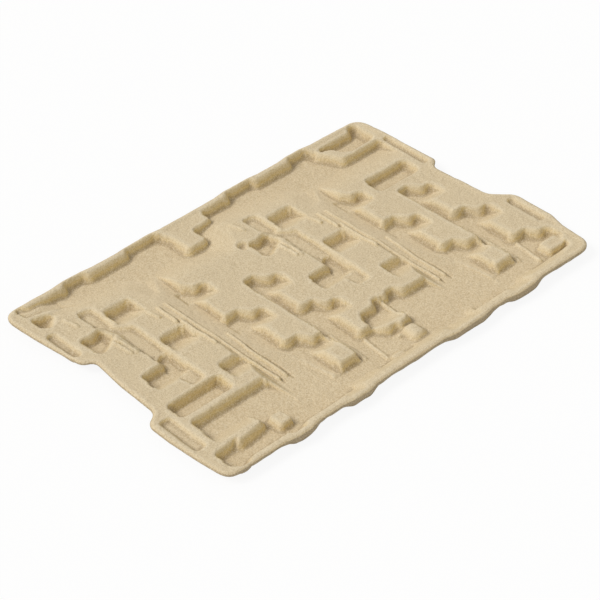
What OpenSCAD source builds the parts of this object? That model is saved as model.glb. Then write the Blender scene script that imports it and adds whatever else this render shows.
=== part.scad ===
// Molded pulp insert: one thin sheet of pulp formed into a shallow tray. A flat
// flange runs all round with two tabs on each end, a low floor lies along each
// long side, and two equal product cells sit side by side between the floors.
// Frame: origin at the centre of the footprint on the table, +X along the
// length, +Y towards the long side with the wide plateau, +Z up.
// Hollows are drawn by their top edge at flange level. Their walls lean, some
// rise as a ramp to the front, and the underside follows them at the thickness
// of the pulp.

/* [Sheet] */
// Length over the end tabs
length = 624; // [616:1:640]
// Width over the long flanges
width = 400; // [398:1:424]
// Height of the flange above the table
height = 16; // [14:0.5:22]
// Thickness of the pulp
wall = 4; // [3:0.1:4.6]
// Lean of the formed walls from the vertical, in degrees
draft = 8; // [4:0.5:10]
// Corner radius of hollows and plateaus in plan
corner_r = 5; // [4:0.1:6]

/* [Outline] */
// Depth of the recess between the two tabs of the left end
recess = 22; // [10:0.5:23]
// Depth of the recess beside the long tab of the right end
long_tab = 28; // [16:0.5:29]
// How much shorter the back tab of the right end is
short_tab = 20; // [8:0.5:21]
// Corner radius of the sheet
tab_r = 20; // [12:0.5:24]
// Swell of the long edges beside the narrow flange
swell = 2; // [0:0.1:3]

/* [Flange] */
// Flange width on the back long side
rim_back = 11; // [10:0.5:14]
// Flange width on the front long side
rim_front = 14; // [12:0.5:18]
// Flange width on the left end, over the tabs
rim_left = 19; // [17:0.5:22]
// Flange width on the right end, over the long tab
rim_right = 38; // [36:0.5:41]
// How far each widening of a floor runs out under the flange
jog = 8; // [3:0.25:8]
// Length of the slanted end of such a widening
jog_slant = 6; // [5:0.5:10]

/* [Product cells] */
// Distance from the first cell to the second
pitch = 268; // [262:1:270]
// Width of the square pockets
pocket_w = 37; // [30:0.5:38]
// Length of the square pockets
pocket_l = 36; // [32:0.5:38]
// Run of the ramp at the front of a pocket
pocket_ramp = 22; // [10:0.5:24]
// Width of the cable channel
channel_w = 22; // [18:0.5:24]
// Depth of the cable channel
channel_depth = 6; // [4:0.5:8]
// Run of the ramp from the cells down to the floor behind them
back_ramp = 40; // [20:1:44]
// Run of the ramp under the long ribs
rib_ramp = 130; // [100:1:136]

/* [Stepped bays] */
// Width of each of the two steps of a bay
step_w = 18; // [15:0.5:20]
// Sideways run of the slanted edge between them
step_run = 11; // [8:0.5:13]
// How much lower the second step lies in plan
step_drop = 16; // [10:0.5:18]
// Length of a bay
bay_l = 46; // [44:0.5:50]
// Run of the ramp at the front of a bay
bay_ramp = 19; // [8:0.5:20]
// Distance from one bay to the next along the width
bay_pitch = 83; // [80:0.5:86]
// Sideways shift from one bay to the next
bay_shift = 19; // [16:0.5:21]

/* [End hollows] */
// Length of the long bay at each end
long_bay = 80; // [60:1:84]
// Thickness of the free-standing bar between the bays of the left end
bar_w = 8; // [6:0.5:10]
// Width of the slots in the tabs
slot_w = 9; // [7:0.5:11]
// Depth of the slots in the tabs
slot_depth = 4; // [3:0.25:5]

/* [Ribs] */
// Height of the ribs
rib_height = 2; // [1:0.1:3]
// Width of a rib at its foot
rib_width = 5; // [4:0.1:6]

/* [Hidden] */
end_x = length / 2;
edge_y = width / 2;
// The layout stands left of the middle, because one right tab is longer
shift = -6;
drop = height - wall;
lean = tan(draft);
skin = wall / cos(draft);
over = 1;
// Edges that other shapes line up with
y_back = edge_y - rim_back;
y_front = -edge_y + rim_front;
x_left = -end_x - shift + rim_left;
x_right = end_x - shift - rim_right;
y_low = y_front + 91;
// Seam of the first cell: the cell's own points are measured from here
seam_x = 82 - pitch / 2;

function unit(v) = v / norm(v);
function turn(v, q) = [v[0] * cos(q) - v[1] * sin(q), v[0] * sin(q) + v[1] * cos(q)];
// Half the angle at corner i of a closed line
function half_angle(p, i) =
  let (u = unit(p[(i + len(p) - 1) % len(p)] - p[i]), v = unit(p[(i + 1) % len(p)] - p[i]))
  min(88, acos(max(-1, min(1, u * v))) / 2);
// Corner i of a closed line as an arc of radius r in n steps
function arc(p, i, r, n) =
  let (
    b = p[i], before = p[(i + len(p) - 1) % len(p)] - b, after = p[(i + 1) % len(p)] - b,
    half = half_angle(p, i),
    reach = max(0.5, min(r / tan(half), 0.42 * norm(before), 0.42 * norm(after))),
    start = unit(before) * reach,
    way = before[0] * after[1] - before[1] * after[0] > 0 ? -1 : 1,
    mid = start + turn(start, -90 * way) * tan(half)
  )
  n == 0 ? [b] : [for (k = [0:n]) b + mid + turn(start - mid, way * (180 - 2 * half) * k / n)];
// Closed line with round corners: sharp ones take n steps, wide ones fewer, as on the line like
function smooth(p, r, n, like) = [for (i = [0:len(p) - 1])
  let (half = half_angle(like, i)) each arc(p, i, r, half > 85 ? 0 : half > 59 ? n / 2 : n)];
// Closed line moved outwards by d, point for point
function grown(p, d) = [for (i = [0:len(p) - 1])
  let (
    u = unit(p[i] - p[(i + len(p) - 1) % len(p)]),
    v = unit(p[(i + 1) % len(p)] - p[i])
  ) p[i] + d * [u[1] + v[1], -u[0] - v[0]] / max(0.4, 1 + u * v)];
function moved(p, dx) = [for (q = p) q[2] == undef ? q + [dx, 0] : q + [dx, 0, 0]];
function reversed(p) = [for (i = [len(p) - 1:-1:0]) p[i]];
// Top edge and foot of a hollow: a third number says how far the foot of a ramp lies behind its top edge
function plan(p) = [for (q = p) [q[0], q[1]]];
function top_edge(p) = smooth(plan(p), corner_r, 2, plan(p));
function foot(p) = smooth([for (q = p) [q[0], q[1] + (q[2] == undef ? 0 : q[2])]], corner_r, 2, plan(p));

// Solid between two closed lines of equal count, anticlockwise seen from above
module loft(low, z0, high, z1) {
  n = len(low);
  polyhedron(
    [for (p = low) [p[0], p[1], z0], for (p = high) [p[0], p[1], z1]], [
      [for (i = [0:n - 1]) i], [for (i = [n - 1:-1:0]) n + i],
      for (i = [0:n - 1]) let (j = (i + 1) % n) each [[i, n + j, j], [i, n + i, n + j]]
    ]
  );
}
// Room of a hollow of the given depth whose top edge is the line p
module hollow(p, depth) {
  loft(grown(foot(p), -depth * lean), height - depth, grown(top_edge(p), over * lean), height + over);
}
// The pulp that lines such a hollow below and around it
module lining(p, depth) {
  loft(grown(foot(p), skin - (depth + wall) * lean), height - depth - wall,
    grown(top_edge(p), skin - (wall - over) * lean), height - wall + over);
}
// A block that stands on a floor, and the room under it
module raised(p, top, spread) {
  loft(grown(p, spread), wall - over, p, top);
}
module raised_room(p, top, spread) {
  loft(grown(p, spread - skin), -over, grown(p, -skin), top - wall);
}

// Rectangle from its back left corner, with a ramp of the given run at its front
function block(x, y, w, l, run = 0) = [[x, y - l, run], [x + w, y - l, run], [x + w, y], [x, y]];
// Bay with a stepped back edge, open to the left by lead
function stepped(x, y, lead) = [
  [x - lead, y - bay_l, bay_ramp], [x + 2 * step_w + step_run - 2, y - bay_l, bay_ramp],
  [x + 2 * step_w + step_run - 4, y - step_drop], [x + step_w + step_run, y - step_drop],
  [x + step_w, y], [x - lead, y]
];
// Edge of a floor under the flange, from left to right, with its widenings
function rim(jogs, y, way, run = 0) = [for (g = jogs)
  each [[g[0] - jog_slant, y, run], [g[0], y + way * jog, run],
        [g[1], y + way * jog, run], [g[1] + jog_slant, y, run]]];
// Edge of the sheet beside them
function edge(jogs, y, way) = [for (g = jogs)
  each [for (e = [[g[0] - 3 * jog_slant, swell], [g[0], 0], [g[1], 0], [g[1] + 3 * jog_slant, swell]])
    [e[0] + shift, y - way * e[1]]]];

// Widenings of the floors along the two long sides
back_jogs = [[x_left + 75, x_left + 104], [-112, -72], [54, 95], [164, 188]];
front_jogs = [[x_left + 93, x_left + 111], [-106, -84], [x_right - 216, x_right - 170],
  [x_right - 108, x_right - 80]];

sheet = concat(
    [[-end_x + 8, -edge_y + 5]],
    edge(front_jogs, -edge_y, -1),
    [[end_x - 10, -edge_y + swell], [end_x - 6, -145], [end_x, -122], [end_x, -62],
     [end_x - long_tab + 3, -38], [end_x - long_tab - 4, 52], [end_x - short_tab + 2, 60],
     [end_x - short_tab - 1, 140], [end_x - short_tab - 6, edge_y - 3]],
    reversed(edge(back_jogs, edge_y, 1)),
    [[-end_x, edge_y - swell], [-end_x + 4, 140], [-end_x + 13, 64], [-end_x + recess + 6, 57],
     [-end_x + recess, 4], [-end_x + recess - 2, -58], [-end_x, -68], [-end_x, -106], [-end_x + 3, -150]]
);
module outline() {
  polygon(smooth(sheet, tab_r, 4, sheet));
}

// Floor along the back, round the plateau between the cells. It rises to the cells by a ramp.
back_floor = concat(
  [[x_left, y_back - 15], [x_left + 25, y_back - 19, 4], [x_left + 31, y_back - 41, back_ramp - 12],
   [x_left + 71, y_back - 55, back_ramp - 4], [-172, y_back - 61, back_ramp - 4],
   [-160, y_back - 91, back_ramp], [-138, y_back - 107, back_ramp], [-112, y_back - 87, back_ramp],
   [-86, y_back - 83, back_ramp - 8], [-54, y_back - 91, back_ramp - 8],
   [-24, y_back - 92, back_ramp - 8], [-6, y_back - 77, back_ramp - 8], [10, y_back - 43, back_ramp - 12],
   [52, y_back - 55, back_ramp - 4], [96, y_back - 61, back_ramp - 4], [108, y_back - 91, back_ramp],
   [130, y_back - 107, back_ramp], [156, y_back - 91, back_ramp - 12],
   [x_right, y_back - 91, back_ramp - 12], [x_right, y_back - 43], [x_right - 64, y_back - 43],
   [x_right - 81, y_back - 13], [x_right - 87, y_back + jog], [x_right - 117, y_back + jog],
   [x_right - 123, y_back]],
  reversed(rim([back_jogs[2]], y_back, 1)),
  [[3, y_back], [3, y_back - 20], [-28, y_back - 20], [-28, y_back - 47], [-57, y_back - 47],
   [-58, y_back - 15], [-66, y_back + jog], [-114, y_back + jog], [-120, y_back]],
  reversed(rim([back_jogs[0]], y_back, 1)),
  [[x_left + 15, y_back], [x_left + 9, y_back + jog], [x_left, y_back + jog]]
);
// Floor along the front: its left end lies behind a steep flange, the rest rises to the edge by a ramp
front_left = concat(
  [[x_left + 4, y_front + 3], [x_left + 12, y_front - 6], [x_left + 24, y_front - 6],
   [x_left + 33, y_front]],
  rim([front_jogs[0]], y_front, -0.75),
  [[-98, y_front], [-98, y_front + 34], [-138, y_front + 40], [-155, y_low], [x_left + 19, y_low],
   [x_left + 19, y_front + 40], [x_left + 2, y_front + 36]]
);
front_right = concat(
  [[-148, y_front, 12]],
  rim([for (i = [1:3]) front_jogs[i]], y_front, -0.75, 12),
  [[x_right - 12, y_front, 8], [x_right + 10, y_front + 8], [x_right + 12, y_front + 13],
   [x_right - 24, y_front + 13], [x_right - 36, y_front + 45], [176, y_front + 45], [176, y_front + 26],
   [150, y_front + 26], [136, y_front + 58], [115, y_low], [78, y_low], [70, y_low + 12],
   [58, y_low + 12], [52, y_low + 6], [46, y_low + 12], [46, y_front + 52], [28, y_front + 48],
   [0, y_front + 36], [-16, y_front + 45], [-94, y_front + 45], [-94, y_front + 26], [-148, y_front + 26]]
);

// Hollows of one product cell, measured from its seam
channel = [[-172, -54], [-172 + channel_w, -54], [-150, 76], [-169, 88], [-169, 140], [-186, 142],
  [-185, 103], [-174, 76]];
side_pocket = [[-206, -34, 16], [-150, -34, 16], [-152, 22], [-166, 22], [-172, 2], [-206, 2]];
pit = [[-214, 62, 6], [-202, 62, 6], [-178, 76, 4], [-182, 102], [-200, 98], [-216, 101]];
lane = [
  [-66, y_front + 13], [-23, y_front + 13], [-23, -68], [-42, -68], [-42, 13], [-61, 13],
  [-61, y_back - 85], [-58, y_back - 41], [-88, y_back - 41], [-88, 20], [-76, -60]
];
rib_slope = [[-110, y_front + 4], [-57, y_front + 4], [-62, 26, -rib_ramp], [-96.5, 26, -rib_ramp]];
gully = [
  [6, y_front + 9], [76, y_front + 9], [70, y_front + 46], [56, -116], [36, -116], [36, -33], [17, -33],
  [17, 48], [-2, 50], [3, -90]
];
function cell(dx) = [for (h = [
  [channel, channel_depth],
  [side_pocket, drop],
  [block(-145, 40, pocket_w, pocket_l, pocket_ramp), drop],
  [block(-127, -43, pocket_w, pocket_l, pocket_ramp), drop],
  [block(-162, 122, pocket_w + 3, pocket_l + 2, pocket_ramp + 4), drop],
  [pit, drop],
  [lane, drop],
  [rib_slope, drop],
  [gully, drop],
  for (i = [-1:1]) [stepped(-60 + i * bay_shift, 15 - i * bay_pitch, 14), drop],
  for (i = [0:2]) [stepped(-1 + i * bay_shift, 50 - i * bay_pitch, i * 8), drop]
]) [moved(h[0], dx), h[1]]];

// Hollows at the ends
end_hollows = [
  [block(x_left + 17, -57, long_bay, 30, 4), drop],
  [block(x_right - long_bay - 2, 92, long_bay - 8, 32, 6), drop],
  [[[x_left + 4, y_back - 43], [x_left + 14, y_back - 49], [x_left + 27, y_back - 37],
    [x_left + 25, y_back - 25], [x_left, y_back - 19]], drop],
  [[[x_right - 56, y_back - 32], [x_right - 44, y_back - 39], [x_right - 2, y_back - 39],
    [x_right - 2, y_back + 4], [x_right - 12, y_back + 4], [x_right - 20, y_back - 6],
    [x_right - 74, y_back - 6], [x_right - 77, y_back - 14], [x_right - 64, y_back - 18]], drop],
  [block(0, y_low + 3, 46, 38, 24), drop],
  [block(-12, 108, 15, 18, 6), drop / 2],
  [block(x_left - 2, 131, slot_w, 52), slot_depth],
  [block(x_left - 6, -75, slot_w + 4, 62), slot_depth],
  [block(x_right + 4, 141, slot_w - 2, 74), slot_depth],
  [block(x_right + 20, -64, slot_w - 2, 56), slot_depth]
];
hollows = concat(
  [[back_floor, drop], [front_left, drop], [front_right, drop]],
  cell(seam_x), cell(seam_x + pitch), end_hollows
);
// Blocks that stand in the front floor: line, top, and how far the foot spreads
blocks = [
  [block(-196, y_front + 36, 17, 20), height - 2, 3],
  [block(29, y_front + 42, 14, 20), height - 4, 8],
  [block(x_right - 18, y_front + 37, 28, 20), height - 2, 3]
];
tooth = block(-17, y_front + 18, 18, 13);

// Ribs of one cell, measured from its seam: two ends each, and how far each end lies down towards the floor
ribs = [
  [[-108, 80, 0], [-102, -12, 0]], [[-103, 50, 0], [-101, 6, 0]], [[-94, 80, 0], [-90, 26, 0]],
  [[-90, 26, 0], [-82, -104, 1]], [[-83, -14, 0.31], [-74, -104, 1]], [[-189, 72, 0], [-186, 40, 0]],
  [[-182, 72, 0], [-180, 37, 0]], [[x_left + 83, y_back - 49, 0], [x_left + 87, y_back - 69, 0]],
  [[-123, 82, 0], [-120, 66, 0]], [[12, -90, 1], [13, y_front + 38, 1]],
  [[36, y_front + 62, 1], [32, y_front + 20, 1]], [[-59, -84, 1], [-56, -130, 1]]
];
module rib(a, b) {
  hull() for (p = [a, b]) translate([p[0], p[1], height - drop * p[2] - 1])
    cylinder(h = 1 + rib_height, d1 = rib_width + 1, d2 = rib_width - 2, $fn = 6);
}

module pulp_insert() {
  color("#c9b083") difference() {
    union() {
      difference() {
        linear_extrude(height) outline();
        translate([shift, 0]) for (h = hollows) hollow(h[0], h[1]);
      }
      translate([shift, 0]) {
        for (x = [seam_x, seam_x + pitch]) for (r = ribs) rib(r[0] + [x, 0, 0], r[1] + [x, 0, 0]);
        for (b = blocks) raised(top_edge(b[0]), b[1], b[2]);
        raised(top_edge(block(x_left - 2, y_front + 44, long_bay, bar_w)), height - 1, 2);
        raised(top_edge(tooth), height / 2, 4);
      }
    }
    difference() {
      translate([0, 0, -over]) linear_extrude(drop + over) offset(delta = over) outline();
      translate([shift, 0]) for (h = hollows) lining(h[0], h[1]);
    }
    translate([shift, 0]) for (b = blocks) raised_room(top_edge(b[0]), b[1], b[2]);
  }
}

pulp_insert();
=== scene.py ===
"""Looks of the molded pulp insert: one soft-edged sheet with its fibres, and a plain white stage."""

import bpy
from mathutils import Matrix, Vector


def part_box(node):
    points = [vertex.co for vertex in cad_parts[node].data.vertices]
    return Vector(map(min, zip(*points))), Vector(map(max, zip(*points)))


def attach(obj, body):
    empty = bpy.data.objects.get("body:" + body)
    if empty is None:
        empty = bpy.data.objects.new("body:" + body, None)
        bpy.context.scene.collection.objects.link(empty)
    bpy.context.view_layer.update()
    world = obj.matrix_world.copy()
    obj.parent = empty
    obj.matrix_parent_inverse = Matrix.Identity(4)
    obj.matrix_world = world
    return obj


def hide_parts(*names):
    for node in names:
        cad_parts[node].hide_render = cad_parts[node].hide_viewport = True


bl_info = {
    "name": "Molded Pulp Insert",
    "version": (1, 0, 0),
    "blender": (4, 5, 0),
    "location": "View3D > Sidebar > Pulp Insert",
    "description": "Forms the pulp sheet over its solid, gives it its finish and sets the stage",
    "category": "Object",
}

import math
from collections import namedtuple

import bpy
import numpy as np
from mathutils import Vector

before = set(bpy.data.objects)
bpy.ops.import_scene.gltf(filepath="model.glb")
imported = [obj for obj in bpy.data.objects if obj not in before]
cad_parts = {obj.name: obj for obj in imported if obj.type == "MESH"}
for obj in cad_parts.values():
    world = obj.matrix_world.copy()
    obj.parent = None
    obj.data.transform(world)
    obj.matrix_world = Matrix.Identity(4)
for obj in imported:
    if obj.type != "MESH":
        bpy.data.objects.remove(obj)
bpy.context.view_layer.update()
NODE_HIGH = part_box("pulp_insert")[1]
MM = 0.001

# Plan of the sheet in millimetres. The layout stands SHIFT beside the middle of the sheet.
END_X = NODE_HIGH.x / MM
EDGE_Y = NODE_HIGH.y / MM
SHIFT = -6.0
# Ends and outer sides of the floors, and the rear of the front bays
X_LEFT = -287
X_RIGHT = 280
Y_BACK = EDGE_Y - 11
Y_FRONT = -EDGE_Y + 14
Y_LOW = -95
# Distance from one product cell to the other, and the places of both
PITCH = 268
SEAM = 82 - PITCH / 2
CELLS = (SEAM, SEAM + PITCH)
# Widenings of the floors under the two long edges, from left to right, and how far they go out
BACK_JOGS = ((-212, -183), (-112, -72), (54, 95), (164, 188))
FRONT_JOGS = ((-194, -176), (-106, -84), (64, 110), (172, 200))
JOG = 8
FRONT_JOG = -6
# Steps from one stepped bay to the next, to the right and to the front
BAY_SHIFT = 19
BAY_PITCH = 83
# Depths of the shallow hollows, and radii in plan
CHANNEL_DEPTH = 6.0
LEFT_SLOT_DEPTH = 5.0
RIGHT_SLOT_DEPTH = 4.5
HOLLOW_ROUND = 6.0
BAR_ROUND = 4.0
SHEET_ROUND = 22
# About half the width of a rib, of a groove and of the painted shade along a groove, and the reach of
# them all
RIB_HALF = 2.2
GROOVE_HALF = 1.1
GROOVE_SHADE_HALF = 1.2
LINE_REACH = 9.0
# Middle and half width of the strip of a cell with the long ribs, and how much denser the grid is there
STRIP_X = -92
STRIP_HALF = 22
STRIP_EXTRA = 0.7
# Share of a wall's soft width that lies outside its line, and of the thickness that widens it below
EDGE_OUT = 0.27
LINING = 0.85
# How far lines stray from their places
UNEVEN = 0.5
# Edge of the sheet: plan width of its roll, height and plan width of the bead, drop and reach of the lip
ROLL_WIDTH = 3.2
BEAD_HEIGHT = 0.9
BEAD_WIDTH = 3.0
LIP_DROP = 4.5
LIP_REACH = 8.0
# Lattice of the lumps: its count of values each way, and its place in steps of it
LATTICE = 256
LATTICE_AT = (97.3, 61.7)
# Plan direction, away from the key light, that the walls with brown painted shade face
SHADED_WALL_FACES = (0.86, -0.5)
# Cells of the upper grid along the length and the width
GRID = (344, 224)

# Stage: the floor in metres and its own share of white, the way to the key light, its spread in degrees
FLOOR_HALF = 9.0
FLOOR_Z = -0.0005
FLOOR_WHITE = 0.9
KEY_FROM = (-0.62, 0.36, 0.70)
KEY_SPREAD = 26
# Camera: its turn and height in degrees, its aim in millimetres of the layout, its distance in metres
VIEW_TURN = -43.89
VIEW_HEIGHT = 39.05
VIEW_AIM = (-28.27, -26.13, 16.0)
VIEW_AWAY = 2.731


# Plan outlines

def unit(v):
    """Each row of v divided by its length."""
    return v / np.linalg.norm(v, axis=-1, keepdims=True)


def rounded(points, radius, steps=4):
    """A closed line whose corners are parabolas: each starts and ends a reach away from the corner,
    where the reach is the radius over the tangent of half the corner's angle, at most 0.48 of the
    shorter side."""
    p = np.asarray(points, float)
    before, after = np.roll(p, 1, 0), np.roll(p, -1, 0)
    u, v = unit(before - p), unit(after - p)
    half = np.arccos(np.clip((u * v).sum(1), -1, 1)) / 2
    side = np.minimum(np.linalg.norm(before - p, axis=1), np.linalg.norm(after - p, axis=1))
    reach = np.minimum(radius / np.tan(np.maximum(half, 1e-3)), 0.48 * side)[:, None, None]
    t = np.linspace(0, 1, steps + 1)[None, :, None]
    start, end = p[:, None] + u[:, None] * reach, p[:, None] + v[:, None] * reach
    return ((1 - t) ** 2 * start + 2 * t * (1 - t) * p[:, None] + t ** 2 * end).reshape(-1, 2)


def block(x, y, width, length):
    """Rectangle from its back left corner."""
    return [(x, y - length), (x + width, y - length), (x + width, y), (x, y)]


def stepped(x, y, lead):
    """Bay with a stepped back edge that opens to the left by lead."""
    return [(x - lead, y - 46), (x + 45, y - 46), (x + 43, y - 16), (x + 29, y - 16),
            (x + 18, y), (x - lead, y)]


def rim(jogs, y, out):
    """Edge of a floor under the flange, left to right, with its widenings."""
    return [q for a, b in jogs for q in ((a - 6, y), (a, y + out), (b, y + out), (b + 6, y))]


def brim(jogs, y, back):
    """Edge of the sheet beside those widenings, drawn back a little between them."""
    return [(x + SHIFT, y - e * back)
            for a, b in jogs for x, e in ((a - 18, 1), (a, 0), (b, 0), (b + 18, 1))]


def sheet_outline():
    """Edge of the sheet, anticlockwise from the front left corner."""
    front = brim(FRONT_JOGS, -EDGE_Y, -3.5)
    back = brim(BACK_JOGS, EDGE_Y, 2)[::-1]
    right = [(END_X - 10, -EDGE_Y + 2), (END_X - 6, -145), (END_X, -122), (END_X, -62),
             (END_X - 25, -38), (END_X - 32, 52), (END_X - 18, 60), (END_X - 21, 140),
             (END_X - 26, EDGE_Y - 3)]
    left = [(-END_X, EDGE_Y - 2), (-END_X + 4, 140), (-END_X + 13, 64), (-END_X + 28, 57),
            (-END_X + 22, 4), (-END_X + 20, -58), (-END_X, -68), (-END_X, -106), (-END_X + 3, -150)]
    return rounded([(-END_X + 8, -EDGE_Y + 5)] + front + right + back + left, SHEET_ROUND, 8)


# Lines of the floors along the two long sides
BACK_FLOOR = (
    [(X_LEFT, Y_BACK - 15), (X_LEFT + 25, Y_BACK - 19), (-256, 148), (-216, 134), (-172, 128),
     (-160, 98), (-138, 82), (-112, 102), (-86, 106), (-54, 98), (-24, 97), (-6, 112), (10, 146),
     (52, 134), (96, 128), (108, 98), (130, 82), (156, 98), (X_RIGHT, 98), (X_RIGHT, 146),
     (216, 146), (199, 176), (193, Y_BACK + JOG), (163, Y_BACK + JOG), (157, Y_BACK)]
    + rim(BACK_JOGS[2:3], Y_BACK, JOG)[::-1]
    + [(3, Y_BACK), (3, 169), (-28, 169), (-28, 142), (-57, 142), (-58, 174), (-66, Y_BACK + JOG),
       (-114, Y_BACK + JOG), (-120, Y_BACK)]
    + rim(BACK_JOGS[:1], Y_BACK, JOG)[::-1]
    + [(X_LEFT + 15, Y_BACK), (X_LEFT + 9, Y_BACK + JOG), (X_LEFT, Y_BACK + JOG)]
)
BACK_CORNER = [
    (X_LEFT, Y_BACK - 15), (X_LEFT + 25, Y_BACK - 19), (-225, Y_BACK - 34), (-195, Y_BACK - 34),
    (-195, Y_BACK), (X_LEFT + 15, Y_BACK), (X_LEFT + 9, Y_BACK + JOG), (X_LEFT, Y_BACK + JOG),
]
FRONT_LEFT = (
    [(X_LEFT + 4, -183), (X_LEFT + 12, Y_FRONT + FRONT_JOG), (X_LEFT + 24, Y_FRONT + FRONT_JOG),
     (X_LEFT + 33, Y_FRONT)]
    + rim(FRONT_JOGS[:1], Y_FRONT, FRONT_JOG)
    + [(-98, Y_FRONT), (-98, -152), (-138, -146), (-155, Y_LOW), (-205, Y_LOW), (-209, -152),
       (-249, -157), (-245, -150), (X_LEFT + 2, -153)]
)
LEFT_BAY = [(X_LEFT + 19, -146), (-186, -146), (-186, Y_LOW), (X_LEFT + 19, Y_LOW)]
FRONT_RIGHT = (
    [(-148, Y_FRONT)]
    + rim(FRONT_JOGS[1:], Y_FRONT, FRONT_JOG)
    + [(X_RIGHT - 12, Y_FRONT), (X_RIGHT + 10, -178), (X_RIGHT + 12, -173), (256, -173), (244, -141),
       (176, -141), (176, -160), (150, -160), (136, -128), (115, Y_LOW), (78, Y_LOW), (70, -83),
       (58, -83), (52, -89), (46, -83), (46, -134), (28, -138), (0, -150), (-16, -141), (-94, -141),
       (-94, -160), (-148, -160)]
)
# Hollows of one product cell, measured from its seam
CHANNEL = [(-172, -54), (-150, -54), (-151, 80), (-166, 94), (-168, 140), (-187, 142), (-186, 103),
           (-175, 74)]
SIDE_POCKET = [(-206, -34), (-150, -34), (-152, 22), (-166, 22), (-172, 2), (-206, 2)]
PIT = [(-214, 62), (-202, 62), (-178, 76), (-182, 102), (-200, 98), (-216, 101)]
LANE = [(-66, -173), (-23, -173), (-23, -68), (-42, -68), (-42, 13), (-61, 13), (-61, 104), (-58, 148),
        (-104, 148), (-104, 20), (-92, -60)]
RIB_RAMP = [(-110, -182), (-30, -182), (-60, 26), (-96.5, 26)]
GULLY = [(6, -177), (76, -177), (70, -140), (56, -116), (36, -116), (36, -33), (17, -33), (17, 48),
         (-2, 50), (3, -90)]
# Lines of the ribs
RIBS = (
    [(-110, 80), (-110, 46)], [(-105, 46), (-104, 10), (-102, -14)],
    [(-97, 80), (-96, 39), (-94, -4), (-91, -45), (-85, -104)], [(-77, -8), (-78, -45), (-74, -104)],
    [(-189, 72), (-186, 40)], [(-182, 72), (-180, 37)], [(-204, 140), (-200, 120)],
    [(-123, 82), (-120, 66)], [(12, -90), (13, -148)], [(36, -124), (32, -166)],
)
# Narrow grooves beside them, along the gully and in the corners of the channel, also darkened with
# painted shade
GROOVES = (
    [(-106.5, 79), (-107, 43)], [(-102, 45), (-100, 20), (-99, -14)],
    [(-93, 79), (-92, 39), (-91, -4), (-88, -45), (-81, -98), (-83, -112)],
    [(-73, -6), (-75, -31), (-74, -59), (-69, -89), (-70, -112)],
    [(0, 6), (1.2, -56)], [(2.2, -88), (2.4, -114)], [(-187, 86), (-189.5, 72)],
    [(-165.5, 22), (-166, 10), (-171, -8)],
)


# A hollow: its line, its depth, and the plan widths of its front, right, rear and left walls
Hollow = namedtuple("Hollow", "line depth front right rear left", defaults=(22.0, 0.0, 8.0, 0.0))


def cell_hollows(drop):
    """Hollows of one product cell, measured from its seam."""
    rows = ((-60, 15, ((-1, 2), (0, 14), (1, 14))), (-1, 50, ((0, 0), (1, 8), (2, 16))))
    bays = [stepped(x + BAY_SHIFT * i, y - BAY_PITCH * i, lead) for x, y, row in rows for i, lead in row]
    return [
        Hollow(CHANNEL, CHANNEL_DEPTH, 10.0),
        Hollow(SIDE_POCKET, drop, 20.0),
        Hollow(PIT, drop, 12.0),
        Hollow(block(-145, 40, 37, 36), drop, 24.0, rear=11.0),
        Hollow(block(-127, -43, 37, 36), drop, 24.0, rear=11.0),
        Hollow(block(-162, 122, 40, 38), drop, 26.0, rear=11.0),
        Hollow(LANE, drop, 6.0, left=50.0),
        Hollow(RIB_RAMP, drop, 6.0, rear=130.0, left=18.0),
        Hollow(GULLY, drop, 6.0),
    ] + [Hollow(bay, drop, 23.0, left=14.0) for bay in bays]


def all_hollows(drop):
    """Every hollow of the sheet, in the layout's own millimetres."""
    slots = (
        (block(X_LEFT - 4, 132, 12, 54), LEFT_SLOT_DEPTH),
        (block(X_LEFT - 8, -74, 16, 64), LEFT_SLOT_DEPTH),
        (block(X_RIGHT + 3, 142, 9, 76), RIGHT_SLOT_DEPTH),
        (block(X_RIGHT + 18, -63, 10, 58), RIGHT_SLOT_DEPTH),
    )
    left_corner = [(X_LEFT + 4, 146), (X_LEFT + 14, 140), (X_LEFT + 27, 152), (X_LEFT + 25, 164),
                   (X_LEFT, 170)]
    right_corner = [(224, 157), (236, 150), (X_RIGHT - 2, 150), (X_RIGHT - 2, Y_BACK + 4),
                    (X_RIGHT - 12, Y_BACK + 4), (X_RIGHT - 20, Y_BACK - 6), (206, Y_BACK - 6),
                    (203, 175), (216, 171)]
    scoop = [(0, -130), (46, -130), (46, -83), (34, -83), (28, -92), (7, -92), (0, -102)]
    ends = [
        Hollow(block(X_LEFT + 17, -57, 80, 30), drop, 9.0),
        Hollow(block(X_RIGHT - 82, 92, 72, 32), drop, 12.0),
        Hollow(left_corner, drop, 12.0),
        Hollow(right_corner, drop, 12.0),
        Hollow(scoop, drop, 24.0),
        Hollow(block(-12, 108, 15, 18), drop / 2, 13.0),
        Hollow([(66, -194), (84, -180), (82, -173), (66, -173)], 0.75 * drop, 12.0),
    ] + [Hollow(line, depth, 0.0, rear=0.0) for line, depth in slots]
    cells = [
        hollow._replace(line=[(x + dx, y) for x, y in hollow.line])
        for dx in CELLS
        for hollow in cell_hollows(drop)
    ]
    floors = [
        Hollow(BACK_FLOOR, drop, 44.0),
        Hollow(BACK_CORNER, drop, 9.0, right=50.0),
        Hollow(FRONT_LEFT, drop, 9.0, rear=9.0),
        Hollow(FRONT_RIGHT, drop, 22.0),
        Hollow(LEFT_BAY, drop, 24.0, rear=9.0),
    ]
    return floors + cells + ends


# Surface of the sheet

def smooth01(t):
    """Smooth step from 0 to 1."""
    t = np.clip(t, 0, 1)
    return t * t * (3 - 2 * t)


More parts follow.
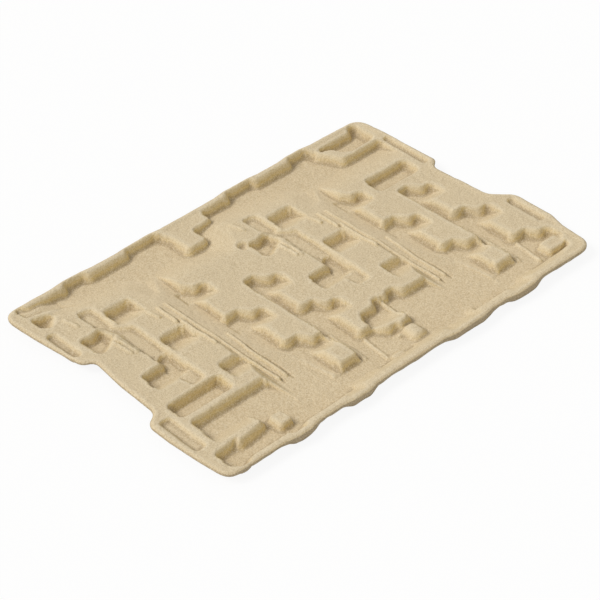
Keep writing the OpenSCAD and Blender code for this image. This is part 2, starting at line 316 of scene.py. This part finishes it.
def near_line(line, sides, x, y):
    """Least distance of each point to the chosen sides of a closed line."""
    best = np.full(x.shape, np.inf)
    for (ax, ay), (dx, dy) in zip(line[sides], (np.roll(line, -1, 0) - line)[sides]):
        px, py = x - ax, y - ay
        t = np.clip((px * dx + py * dy) / (dx * dx + dy * dy + 1e-12), 0, 1)
        best = np.minimum(best, (px - t * dx) ** 2 + (py - t * dy) ** 2)
    return np.sqrt(best)


def within(line, x, y):
    """True inside a closed line: a ray to the right crosses its sides an odd count of times."""
    inside = np.zeros(x.shape, bool)
    for (ax, ay), (bx, by) in zip(line, np.roll(line, -1, 0)):
        if abs(by - ay) > 1e-9:
            inside ^= ((ay > y) != (by > y)) & (x < ax + (y - ay) / (by - ay) * (bx - ax))
    return inside


def inside_by(line, x, y, far=14.0):
    """Distance of each point from a closed line, positive inside it and at least -far outside."""
    result = np.full(x.shape, -far)
    low, high = line.min(0) - far, line.max(0) + far
    near = (x > low[0]) & (x < high[0]) & (y > low[1]) & (y < high[1])
    away = near_line(line, np.arange(len(line)), x[near], y[near])
    result[near] = np.maximum(np.where(within(line, x[near], y[near]), away, -away), -far)
    return result


def share_of_depth(hollow, x, y, soft, out):
    """How much of its depth a hollow has at each point, 0 to 1. From every side it grows over the soft
    width by a mean of a smooth step and a parabola that is steepest at the edge. From its front, right,
    rear and left sides it grows over their own widths where those are longer, half straight and half
    smooth, and the least of all counts."""
    line = rounded(hollow.line, HOLLOW_ROUND)
    by = inside_by(line, x, y)
    t = np.clip((by + out + EDGE_OUT * soft) / soft, 0, 1)
    share = 0.45 * smooth01(t) + 0.55 * (1 - (1 - t) ** 2)
    d = unit(np.roll(line, -1, 0) - line + 1e-9)
    some = share > 0
    for sides, run in ((d[:, 0] > 0.35, hollow.front), (d[:, 1] > 0.8, hollow.right),
                       (d[:, 0] < -0.35, hollow.rear), (d[:, 1] < -0.8, hollow.left)):
        if run > soft and sides.any():
            away = near_line(line, np.flatnonzero(sides), x[some], y[some])
            t = np.clip((np.where(by[some] > 0, away, -away) + out + min(0.1 * run, 2.0)) / run, 0, 1)
            share[some] = np.minimum(share[some], 0.5 * t + 0.5 * smooth01(t))
    return share


def lumps(x, y, size, seed):
    """Smooth noise between -1 and 1: random values on a square lattice of that size, blended by smooth
    steps."""
    grid = np.random.default_rng(seed).uniform(-1, 1, (LATTICE, LATTICE))
    u, v = x / size + LATTICE_AT[0], y / size + LATTICE_AT[1]
    i, j = np.floor(u).astype(int), np.floor(v).astype(int)
    s, t = smooth01(u - i), smooth01(v - j)
    i, right, j, back = (k % LATTICE for k in (i, i + 1, j, j + 1))
    near = grid[i, j] * (1 - s) + grid[right, j] * s
    far = grid[i, back] * (1 - s) + grid[right, back] * s
    return near * (1 - t) + far * t


def line_bump(lines, x, y, width):
    """Cross-section of ribs or grooves along the lines of both cells, 0 to 1: a smooth step down from
    0.3 of the width beside a line to 1.3 of it."""
    away = np.full(x.shape, LINE_REACH)
    for dx in CELLS:
        for line in lines:
            p = np.array(line, float) + (dx, 0)
            low, high = p.min(0) - LINE_REACH, p.max(0) + LINE_REACH
            near = (x > low[0]) & (x < high[0]) & (y > low[1]) & (y < high[1])
            away[near] = np.minimum(away[near], near_line(p, np.arange(len(p) - 1), x[near], y[near]))
    return smooth01(1.3 - away / width)


def formed_height(x, y, sizes, under=False):
    """Height of the sheet over the table at plan points, in mm. It is the flange's height, less the
    deepest hollow there, and at least the height of the bars that stand in the floors, which rise by a
    smooth step. The ribs are added and the grooves taken away. The underside is the same surface without
    ribs and grooves, with each wall moved out by most of the thickness, and one thickness lower. Lumps
    make every line uneven."""
    t = sizes.thickness / MM
    soft = sizes.soft_edge / MM
    flange = sizes.flange_height / MM
    out = LINING * t if under else 0.0
    wx = x - SHIFT + UNEVEN * lumps(x, y, 13, seed=3)
    wy = y + UNEVEN * lumps(x, y, 13, seed=4)
    fall = np.zeros(x.shape)
    for hollow in all_hollows(flange - t):
        fall = np.maximum(fall, hollow.depth * share_of_depth(hollow, wx, wy, soft, out))
    z = flange - fall
    bars = [
        (block(-196, -150, 17, 20), flange - 2, soft),
        (block(29, -144, 14, 20), flange - 4, 12.0),
        (block(-17, -168, 18, 13), flange / 2, 7.0),
        (block(262, -149, 28, 20), flange - 2, soft),
    ]
    for line, top, width in bars:
        by = inside_by(rounded(line, BAR_ROUND), wx, wy)
        step = smooth01((by - out + (1 - EDGE_OUT) * width) / width)
        z = np.maximum(z, t + (top - t) * step)
    if under:
        return z - t
    ribs = line_bump(RIBS, wx, wy, RIB_HALF)
    grooves = line_bump(GROOVES, wx, wy, GROOVE_HALF)
    return z + sizes.rib_height / MM * ribs - sizes.groove_depth / MM * grooves


def closer(count):
    """Shares from 0 to 1 along the sheet, closer together where the long ribs of the two cells run."""
    u = np.linspace(0, 1, 1001)
    x = (2 * u - 1) * END_X - SHIFT
    strips = sum(smooth01(2.2 - np.abs(x - SEAM - dx - STRIP_X) / STRIP_HALF) for dx in (0, PITCH))
    density = 1 + STRIP_EXTRA * strips
    run = np.concatenate([[0], np.cumsum((density[1:] + density[:-1]) / 2)])
    return np.interp(np.linspace(0, 1, count + 1), run / run[-1], u)


def plan_grid(across, along):
    """Grid of plan points that fills the outline. The outline is cut at the middle of its four corner
    arcs into sides, the short sides are divided evenly by length and the long ones closer beside the
    ribs, and the points between blend the opposite sides and take off the blend of the four corners."""
    edge = sheet_outline()
    near = ((-END_X, -EDGE_Y), (END_X, -EDGE_Y), (END_X - 17, EDGE_Y), (-END_X, EDGE_Y))
    corner = [int(np.argmin(np.hypot(edge[:, 0] - x, edge[:, 1] - y))) for x, y in near]
    turn = np.roll(edge, -corner[0], 0)
    turn = np.vstack([turn, turn[:1]])
    cut = [(c - corner[0]) % len(edge) for c in corner] + [len(edge)]

    def side(k, shares):
        part = turn[cut[k]:cut[k + 1] + 1]
        run = np.concatenate([[0], np.cumsum(np.linalg.norm(np.diff(part, axis=0), axis=1))])
        at = shares * run[-1]
        return np.stack([np.interp(at, run, part[:, 0]), np.interp(at, run, part[:, 1])], 1)

    front, right = side(0, closer(across)), side(1, np.linspace(0, 1, along + 1))
    back, left = side(2, 1 - closer(across)[::-1])[::-1], side(3, np.linspace(0, 1, along + 1))[::-1]
    u = np.linspace(0, 1, across + 1)[:, None, None]
    v = np.linspace(0, 1, along + 1)[None, :, None]
    blend = (1 - v) * front[:, None] + v * back[:, None] + (1 - u) * left[None] + u * right[None]
    corners = ((1 - u) * (1 - v) * front[0] + u * (1 - v) * front[-1]
               + (1 - u) * v * back[0] + u * v * back[-1])
    grid = blend - corners
    return grid[..., 0], grid[..., 1]


def front_lip(x, y, inset):
    """How far the lower edge hangs down along the front, in mm: most below the widenings of the floor, a
    little and unevenly elsewhere, and nothing at its reach inside the edge."""
    below = sum(smooth01(2 - np.abs(x - SHIFT - (a + b) / 2) / ((b - a) / 2 + 4)) for a, b in FRONT_JOGS)
    ragged = 1.2 + lumps(x, y, 19, seed=16) + 0.8 * lumps(x, y, 8, seed=17)
    at_front = smooth01((30 - EDGE_Y - y) / 20)
    return smooth01(1 - inset / LIP_REACH) * at_front * (LIP_DROP * below + ragged)


def ring(index):
    """Vertex numbers round the border of a grid, anticlockwise."""
    return np.concatenate([index[:-1, 0], index[-1, :-1], index[:0:-1, -1], index[0, :0:-1]])


def quads(index):
    """Four vertex numbers of each cell of a grid, anticlockwise."""
    return np.stack([index[:-1, :-1], index[1:, :-1], index[1:, 1:], index[:-1, 1:]], -1).reshape(-1, 4)


def surface_values(x, y, z, inset):
    """Values of the upper face that the finish reads, each of them painted light or shade. The wall
    value is the slope, most where a wall faces right and front, away from the key light, and paints
    brown shade on steep walls. The slope value marks low slopes that fall to the right, away from the
    key light, which are painted paler to take out their shade. The edge value is the height over the
    mean of the neighbours, for painted highlights on crests and painted shade in creases, less the
    grooves and the rim of the sheet, which get painted shade too."""
    gx = np.gradient(z, axis=0) / np.gradient(x, axis=0)
    gy = np.gradient(z, axis=1) / np.gradient(y, axis=1)
    slope = np.hypot(gx, gy)
    # Walls turned away from the key light, to the right and front, get the most brown painted shade
    turned = smooth01(0.5 - (SHADED_WALL_FACES[0] * gx + SHADED_WALL_FACES[1] * gy) / (2 * slope + 1e-6))
    steep = smooth01((slope - 0.2) / 1.4) * (0.15 + 0.85 * turned)
    # Painted light: low slopes that fall to the right, away from the key light, are marked to be painted
    # paler so that their shade is taken out
    shade_lifted = smooth01(-gx / 0.22) * (1 - smooth01((slope - 0.3) / 0.4))
    # Height over the neighbours: painted highlights on convex crests and painted shade in creases
    mean = z
    for _ in range(2):
        mean = sum(np.roll(mean, step, axis) for axis in (0, 1) for step in (2, -2)) / 4
    # Painted shade along the grooves
    edge_light_and_shade = np.clip((z - mean) / 1.6, -1, 1) - line_bump(GROOVES, x - SHIFT, y, GROOVE_SHADE_HALF)
    # Painted shade along the outer edge of the upper face
    edge_light_and_shade = edge_light_and_shade - 0.6 * (inset < 0.5)
    return {"steep": steep, "shade_lifted": shade_lifted, "edge_light_and_shade": edge_light_and_shade}


def pulp_sheet(sizes):
    """Vertices, quads, triangles and surface values of the closed sheet. The upper face is the formed
    height on a fine grid, with waves, bumps, a rolled edge and a bead beside it. The underside is the
    formed height on every second point of it, at least 0.4 of the thickness lower, with the lip of the
    front edge, and triangles join the two borders. Relief is the height as a share of the flange's."""
    x, y = plan_grid(*GRID)
    flange = sizes.flange_height / MM
    t = sizes.thickness / MM
    edge = rounded(sheet_outline(), 1.0, 1)
    inset = np.maximum(inside_by(edge, x, y, 30.0), 0)
    inset[[0, -1]] = 0
    inset[:, [0, -1]] = 0
    wave = sizes.waviness / MM * (lumps(x, y, 90, seed=11) + 0.45 * lumps(x, y, 34, seed=15))
    rough = lumps(x, y, 17, seed=12) + 0.6 * lumps(x, y, 7.5, seed=13) + 0.35 * lumps(x, y, 4, seed=14)
    bumps = sizes.lump_height / MM * rough
    top = formed_height(x, y, sizes)
    roll = 1 - smooth01(inset / ROLL_WIDTH)
    bead = BEAD_HEIGHT * smooth01(inset / BEAD_WIDTH) * smooth01(3 - inset / BEAD_WIDTH)
    z = top + bumps + wave * (top / flange) - 0.3 * t * roll + bead
    half = (slice(None, None, 2), slice(None, None, 2))
    bx, by = x[half], y[half]
    low = formed_height(bx, by, sizes, under=True)
    bz = low + wave[half] * (top[half] / flange) + 0.3 * t * roll[half]
    bz = np.maximum(np.minimum(bz, z[half] - 0.4 * t) - front_lip(bx, by, inset[half]), 0)
    verts = np.concatenate([np.stack(p, -1).reshape(-1, 3) for p in ((x, y, z), (bx, by, bz))]) * MM
    upper = np.arange(x.size).reshape(x.shape)
    lower = x.size + np.arange(bx.size).reshape(bx.shape)
    a, b = ring(upper), ring(lower)
    a0, a1, a2 = a[0::2], a[1::2], np.roll(a, -2)[0::2]
    b1 = np.roll(b, -1)
    joins = np.concatenate([np.stack(three, 1) for three in ((a0, b, a1), (a1, b, b1), (a1, b1, a2))])
    faces = np.concatenate([quads(upper), quads(lower)[:, ::-1]])
    none = np.zeros(bx.shape)
    above = {"relief": z / flange, **surface_values(x, y, z, inset)}
    below = {"relief": bz / flange, "steep": none, "shade_lifted": none,
             # Painted shadow darkening the lower edge of the sheet
             "edge_light_and_shade": -2.5 * smooth01(1 - inset[half] / 2)}
    values = {name: np.concatenate([above[name].ravel(), below[name].ravel()]) for name in above}
    return verts, faces, joins, values


# Shader expressions

class Sock:
    """One output socket. Operators on it add Math nodes to its tree."""

    def __init__(self, tree, socket):
        self.tree = tree
        self.socket = socket

    def node(self, kind, settings=None, out=0, **inputs):
        """Adds a node of a kind, sets its settings, then its sockets, and wraps one output."""
        return add_node(self.tree, kind, settings, out, **inputs)

    def math(self, operation, *values):
        """Adds a Math node on values or sockets."""
        made = {f"i{k}": value for k, value in enumerate(values)}
        return self.node("ShaderNodeMath", {"operation": operation}, **made)

    def __add__(self, other):
        return self.math("ADD", self, other)

    def __sub__(self, other):
        return self.math("SUBTRACT", self, other)

    def __rsub__(self, other):
        return self.math("SUBTRACT", other, self)

    def __mul__(self, other):
        return self.math("MULTIPLY", self, other)

    __radd__ = __add__
    __rmul__ = __mul__

    def span(self, low, high):
        """0 below low, 1 above high, straight between."""
        return self.node("ShaderNodeMapRange", {"clamp": True}, i0=self, i1=low, i2=high)


def add_node(tree, kind, settings=None, out=0, **inputs):
    """One node in a tree. Inputs named i0, i1 and so on go by number, others by name."""
    made = tree.nodes.new(kind)
    for key, value in (settings or {}).items():
        setattr(made, key, value)
    for key, value in inputs.items():
        number = key[1:]
        by_number = key[0] == "i" and number.isdigit()
        target = made.inputs[int(number) if by_number else key.replace("_", " ")]
        if isinstance(value, Sock):
            tree.links.new(value.socket, target)
        else:
            target.default_value = value
    return Sock(tree, made.outputs[out]) if made.outputs else None


def with_alpha(colour):
    """Opaque colour of four numbers."""
    return (colour[0], colour[1], colour[2], 1.0)


def mix_colour(factor, one, two):
    """Colour between two colours by a factor."""
    return factor.node("ShaderNodeMix", {"data_type": "RGBA"}, out=2, i0=factor, i6=one, i7=two)


def new_material(name):
    """An empty material and its node tree."""
    material = bpy.data.materials.new(name)
    material.use_nodes = True
    tree = material.node_tree
    tree.nodes.clear()
    return material, tree


def seen_ray(tree):
    """1 for rays from the camera and for those that a gloss or a glass sends on, else 0."""
    camera, gloss, glass = (add_node(tree, "ShaderNodeLightPath", out=f"Is {kind} Ray")
                            for kind in ("Camera", "Glossy", "Transmission"))
    return camera + gloss + glass


def pulp_material(colours):
    """Dry gray-tan pulp: cloudy colour, steep walls painted browner as shade and bounce light, low
    slopes that fall from the key light painted paler to take out their shade, painted highlights on the
    crests, painted shade in the grooves and creases and along the edge of the sheet, pale fibres, dark
    and light flecks, and a felted surface."""
    material, tree = new_material("molded_pulp")
    place = add_node(tree, "ShaderNodeTexCoord", out=3)
    relief, steep, shade_lifted, edge_light_and_shade = (
        add_node(tree, "ShaderNodeAttribute", {"attribute_name": name}, out=2)
        for name in ("relief", "steep", "shade_lifted", "edge_light_and_shade"))

    def noise(scale, detail, rough=0.55, vector=place):
        return add_node(tree, "ShaderNodeTexNoise",
                        Vector=vector, Scale=scale, Detail=detail, Roughness=rough)

    def turned(scale, angle):
        return add_node(tree, "ShaderNodeMapping", Vector=place, Scale=scale, Rotation=(0, 0, angle))

    cloud = noise(22.0, 4.0)
    mottle = noise(260.0, 3.0)
    grain = noise(620.0, 2.0, 0.75)
    grit = noise(1300.0, 2.0, 0.7)
    stretched = turned((420.0, 1500.0, 900.0), 0.6)
    crossed = turned((1500.0, 380.0, 900.0), 0.3)
    fibre = noise(1.0, 2.0, 0.6, stretched) + noise(1.0, 2.0, 0.6, crossed)
    fleck = add_node(tree, "ShaderNodeTexVoronoi", Vector=place, Scale=330.0, Randomness=1.0)
    chosen = noise(90.0, 1.0)
    dark = (1 - fleck.span(0.06, 0.18)) * chosen.span(0.55, 0.62)
    pale = (1 - fleck.span(0.08, 0.24)) * (1 - chosen.span(0.38, 0.45))
    patches = cloud.span(0.3, 0.7) * 0.5 + mottle.span(0.3, 0.7) * 0.5
    tone = mix_colour(patches, with_alpha(colours.shade), with_alpha(colours.pulp))
    tone = mix_colour(relief.span(0.2, 1.0) * 0.8, tone, with_alpha(colours.raised))
    # Painted light: paler colour on low slopes that fall away from the key light
    tone = mix_colour(shade_lifted * 0.8, tone, with_alpha(colours.slope))
    # Painted shade and bounce light: steep walls browner, most those turned from the key light
    tone = mix_colour(steep * 0.8, tone, with_alpha(colours.wall))
    # Painted highlight: paler colour on convex crests
    tone = mix_colour(edge_light_and_shade.span(0.08, 0.55) * 0.3, tone, with_alpha(colours.fibre))
    # Painted shade: darker in grooves, creases and along the edge of the sheet
    tone = mix_colour((1 - edge_light_and_shade.span(-1.0, -0.3)) * 0.6, tone, with_alpha(colours.fleck))
    tone = mix_colour((1 - grain.span(0.34, 0.52)) * 0.36, tone, with_alpha(colours.fleck))
    tone = mix_colour(grain.span(0.48, 0.66) * 0.5, tone, with_alpha(colours.fibre))
    tone = mix_colour(fibre.span(0.75, 1.25) * 0.25, tone, with_alpha(colours.shade))
    tone = mix_colour(dark * 0.5, tone, with_alpha(colours.fleck))
    tone = mix_colour(pale * 0.4, tone, with_alpha(colours.fibre))
    height = mottle * 0.9 + grit * 0.35 + fibre * 0.3 + noise(110.0, 3.0) * 1.6
    felt = add_node(tree, "ShaderNodeBump", Height=height, Strength=0.7, Distance=0.0011)
    shader = add_node(tree, "ShaderNodeBsdfPrincipled", i0=tone, Normal=felt, Roughness=0.93, IOR=1.35)
    shader.socket.node.inputs["Specular IOR Level"].default_value = 0.2
    add_node(tree, "ShaderNodeOutputMaterial", Surface=shader)
    return material


# Settings

class PulpSheetSizes(bpy.types.PropertyGroup):
    """Sizes of the formed sheet."""

    flange_height: bpy.props.FloatProperty(
        name="Flange height", description="Top of the flange above the table",
        default=0.016, unit="LENGTH")
    thickness: bpy.props.FloatProperty(
        name="Thickness", description="Thickness of the pulp", default=0.004, unit="LENGTH")
    soft_edge: bpy.props.FloatProperty(
        name="Soft edge", description="Plan width of a wall with its rounded top and foot",
        default=0.0046, unit="LENGTH")
    rib_height: bpy.props.FloatProperty(
        name="Rib height", description="Height of the ribs on the plateaus",
        default=0.0031, unit="LENGTH")
    groove_depth: bpy.props.FloatProperty(
        name="Groove depth", description="Depth of the narrow grooves", default=0.0017, unit="LENGTH")
    waviness: bpy.props.FloatProperty(
        name="Waviness", description="How far the flange leaves its plane",
        default=0.0009, unit="LENGTH")
    lump_height: bpy.props.FloatProperty(
        name="Lumps", description="Height of the lumps of the felted surface",
        default=0.0003, unit="LENGTH")


class PulpColours(bpy.types.PropertyGroup):
    """Colours of the pulp."""

    pulp: bpy.props.FloatVectorProperty(
        name="Pulp", description="Main colour", subtype="COLOR", default=(0.626, 0.512, 0.338))
    shade: bpy.props.FloatVectorProperty(
        name="Shade", description="Darker cloud colour", subtype="COLOR", default=(0.57, 0.452, 0.284))
    raised: bpy.props.FloatVectorProperty(
        name="Raised", description="Colour of the plateaus and the flange",
        subtype="COLOR", default=(0.598, 0.495, 0.33))
    # Painted shade and bounce light: browner colour of steep walls turned from the key light
    wall: bpy.props.FloatVectorProperty(
        name="Wall", description="Browner colour of the steep walls",
        subtype="COLOR", default=(0.73, 0.53, 0.165))
    # Painted light: paler colour that takes the shade out of low slopes falling away from the key light
    slope: bpy.props.FloatVectorProperty(
        name="Slope", description="Paler colour of the gentle slopes",
        subtype="COLOR", default=(0.70, 0.575, 0.385))
    # Dark flecks and grain, and also the painted shade in grooves, creases and along the edge of the
    # sheet
    fleck: bpy.props.FloatVectorProperty(
        name="Fleck", description="Dark flecks", subtype="COLOR", default=(0.26, 0.19, 0.11))
    # Pale fibres and grain, and also the painted highlight on crests
    fibre: bpy.props.FloatVectorProperty(
        name="Fibre", description="Pale fibres", subtype="COLOR", default=(0.74, 0.66, 0.50))


class PulpStage(bpy.types.PropertyGroup):
    """Light, floor and camera."""

    key: bpy.props.FloatProperty(name="Key light", description="Strength of the key light", default=2.25)
    fill: bpy.props.FloatProperty(name="Fill", description="Strength of the even light", default=0.60)
    focal: bpy.props.FloatProperty(
        name="Focal length", description="Lens in mm on a 36 mm sensor", default=136.8)


class PULP_OT_sheet(bpy.types.Operator):
    """Form the pulp sheet in place of its solid and give it its finish"""

    bl_idname = "pulp.sheet"
    bl_label = "Pulp Sheet"

    def execute(self, context):
        scene = context.scene
        verts, faces, joins, values = pulp_sheet(scene.pulp_sizes)
        mesh = bpy.data.meshes.new("pulp_sheet")
        mesh.from_pydata(verts.tolist(), [], faces.tolist() + joins.tolist())
        mesh.polygons.foreach_set("use_smooth", np.ones(len(mesh.polygons), bool))
        for name, value in values.items():
            attribute = mesh.attributes.new(name, "FLOAT", "POINT")
            attribute.data.foreach_set("value", value.astype(np.float32))
        mesh.update()
        piece = bpy.data.objects.new("pulp_sheet", mesh)
        scene.collection.objects.link(piece)
        mesh.materials.append(pulp_material(scene.pulp_colours))
        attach(piece, "root")
        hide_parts("pulp_insert")
        return {"FINISHED"}


class PULP_OT_stage(bpy.types.Operator):
    """Set the white floor, the light and the camera"""

    bl_idname = "pulp.stage"
    bl_label = "Stage"

    def execute(self, context):
        scene = context.scene
        stage = scene.pulp_stage
        scene.view_settings.view_transform = "Standard"
        self.floor(scene)
        self.light(scene, stage)
        self.camera(scene, stage)
        return {"FINISHED"}

    def floor(self, scene):
        """White floor that keeps the shadow faintly."""
        mesh = bpy.data.meshes.new("floor")
        turns = ((-1, -1), (1, -1), (1, 1), (-1, 1))
        corners = [(FLOOR_HALF * x, FLOOR_HALF * y, FLOOR_Z) for x, y in turns]
        mesh.from_pydata(corners, [], [(0, 1, 2, 3)])
        ground = bpy.data.objects.new("floor", mesh)
        scene.collection.objects.link(ground)
        material, tree = new_material("floor_white")
        ray = seen_ray(tree)
        matte = add_node(tree, "ShaderNodeBsdfDiffuse", Color=(0.8, 0.8, 0.8, 1))
        white = add_node(tree, "ShaderNodeEmission", Color=(1, 1, 1, 1), Strength=1.0)
        shown = add_node(tree, "ShaderNodeMixShader", i0=ray * FLOOR_WHITE, i1=matte, i2=white)
        add_node(tree, "ShaderNodeOutputMaterial", Surface=shown)
        mesh.materials.append(material)

    def light(self, scene, stage):
        """One soft key from the back left, and even light from all round."""
        lamp = bpy.data.lights.new("key", "SUN")
        lamp.energy = stage.key
        lamp.angle = math.radians(KEY_SPREAD)
        lamp.color = (1.0, 0.985, 0.955)
        sun = bpy.data.objects.new("key", lamp)
        sun.rotation_euler = Vector(KEY_FROM).to_track_quat("Z", "Y").to_euler()
        scene.collection.objects.link(sun)
        world = bpy.data.worlds.new("studio")
        world.use_nodes = True
        tree = world.node_tree
        tree.nodes.clear()
        ray = seen_ray(tree)
        even = add_node(tree, "ShaderNodeBackground", Color=(1.0, 0.99, 0.97, 1), Strength=stage.fill)
        white = add_node(tree, "ShaderNodeBackground", Color=(1, 1, 1, 1), Strength=1.0)
        shown = add_node(tree, "ShaderNodeMixShader", i0=ray, i1=even, i2=white)
        add_node(tree, "ShaderNodeOutputWorld", Surface=shown)
        scene.world = world

    def camera(self, scene, stage):
        """Level camera in front of the left near corner, looking down on the sheet."""
        azimuth, height = math.radians(VIEW_TURN), math.radians(VIEW_HEIGHT)
        target = Vector((VIEW_AIM[0] + SHIFT, VIEW_AIM[1], VIEW_AIM[2])) * MM
        level = math.cos(height)
        way = Vector((math.sin(azimuth) * level, -math.cos(azimuth) * level, math.sin(height)))
        lens = bpy.data.cameras.new("camera")
        lens.lens = stage.focal
        lens.sensor_width = 36.0
        lens.clip_end = 50.0
        eye = bpy.data.objects.new("camera", lens)
        eye.location = target + way * VIEW_AWAY
        eye.rotation_euler = way.to_track_quat("Z", "Y").to_euler()
        scene.collection.objects.link(eye)
        scene.camera = eye


class PULP_PT_panel(bpy.types.Panel):
    """Sidebar list of the pieces"""

    bl_idname = "PULP_PT_panel"
    bl_label = "Pulp Insert"
    bl_space_type = "VIEW_3D"
    bl_region_type = "UI"
    bl_category = "Pulp Insert"

    def draw(self, context):
        for kind in (PULP_OT_sheet, PULP_OT_stage):
            self.layout.operator(kind.bl_idname)
        for group in (context.scene.pulp_sizes, context.scene.pulp_colours, context.scene.pulp_stage):
            # The first two are the group's own type and name
            for name in group.bl_rna.properties.keys()[2:]:
                self.layout.prop(group, name)


CLASSES = (PulpSheetSizes, PulpColours, PulpStage, PULP_OT_sheet, PULP_OT_stage, PULP_PT_panel)


def register():
    """Adds the classes, and their settings to the scene."""
    for kind in CLASSES:
        bpy.utils.register_class(kind)
    bpy.types.Scene.pulp_sizes = bpy.props.PointerProperty(type=PulpSheetSizes)
    bpy.types.Scene.pulp_colours = bpy.props.PointerProperty(type=PulpColours)
    bpy.types.Scene.pulp_stage = bpy.props.PointerProperty(type=PulpStage)


def unregister():
    """Takes the settings and the classes away again."""
    del bpy.types.Scene.pulp_stage
    del bpy.types.Scene.pulp_colours
    del bpy.types.Scene.pulp_sizes
    for kind in reversed(CLASSES):
        bpy.utils.unregister_class(kind)


def main():
    """Makes everything in order."""
    register()
    bpy.ops.pulp.stage()
    bpy.ops.pulp.sheet()


if __name__ == "__main__":
    main()
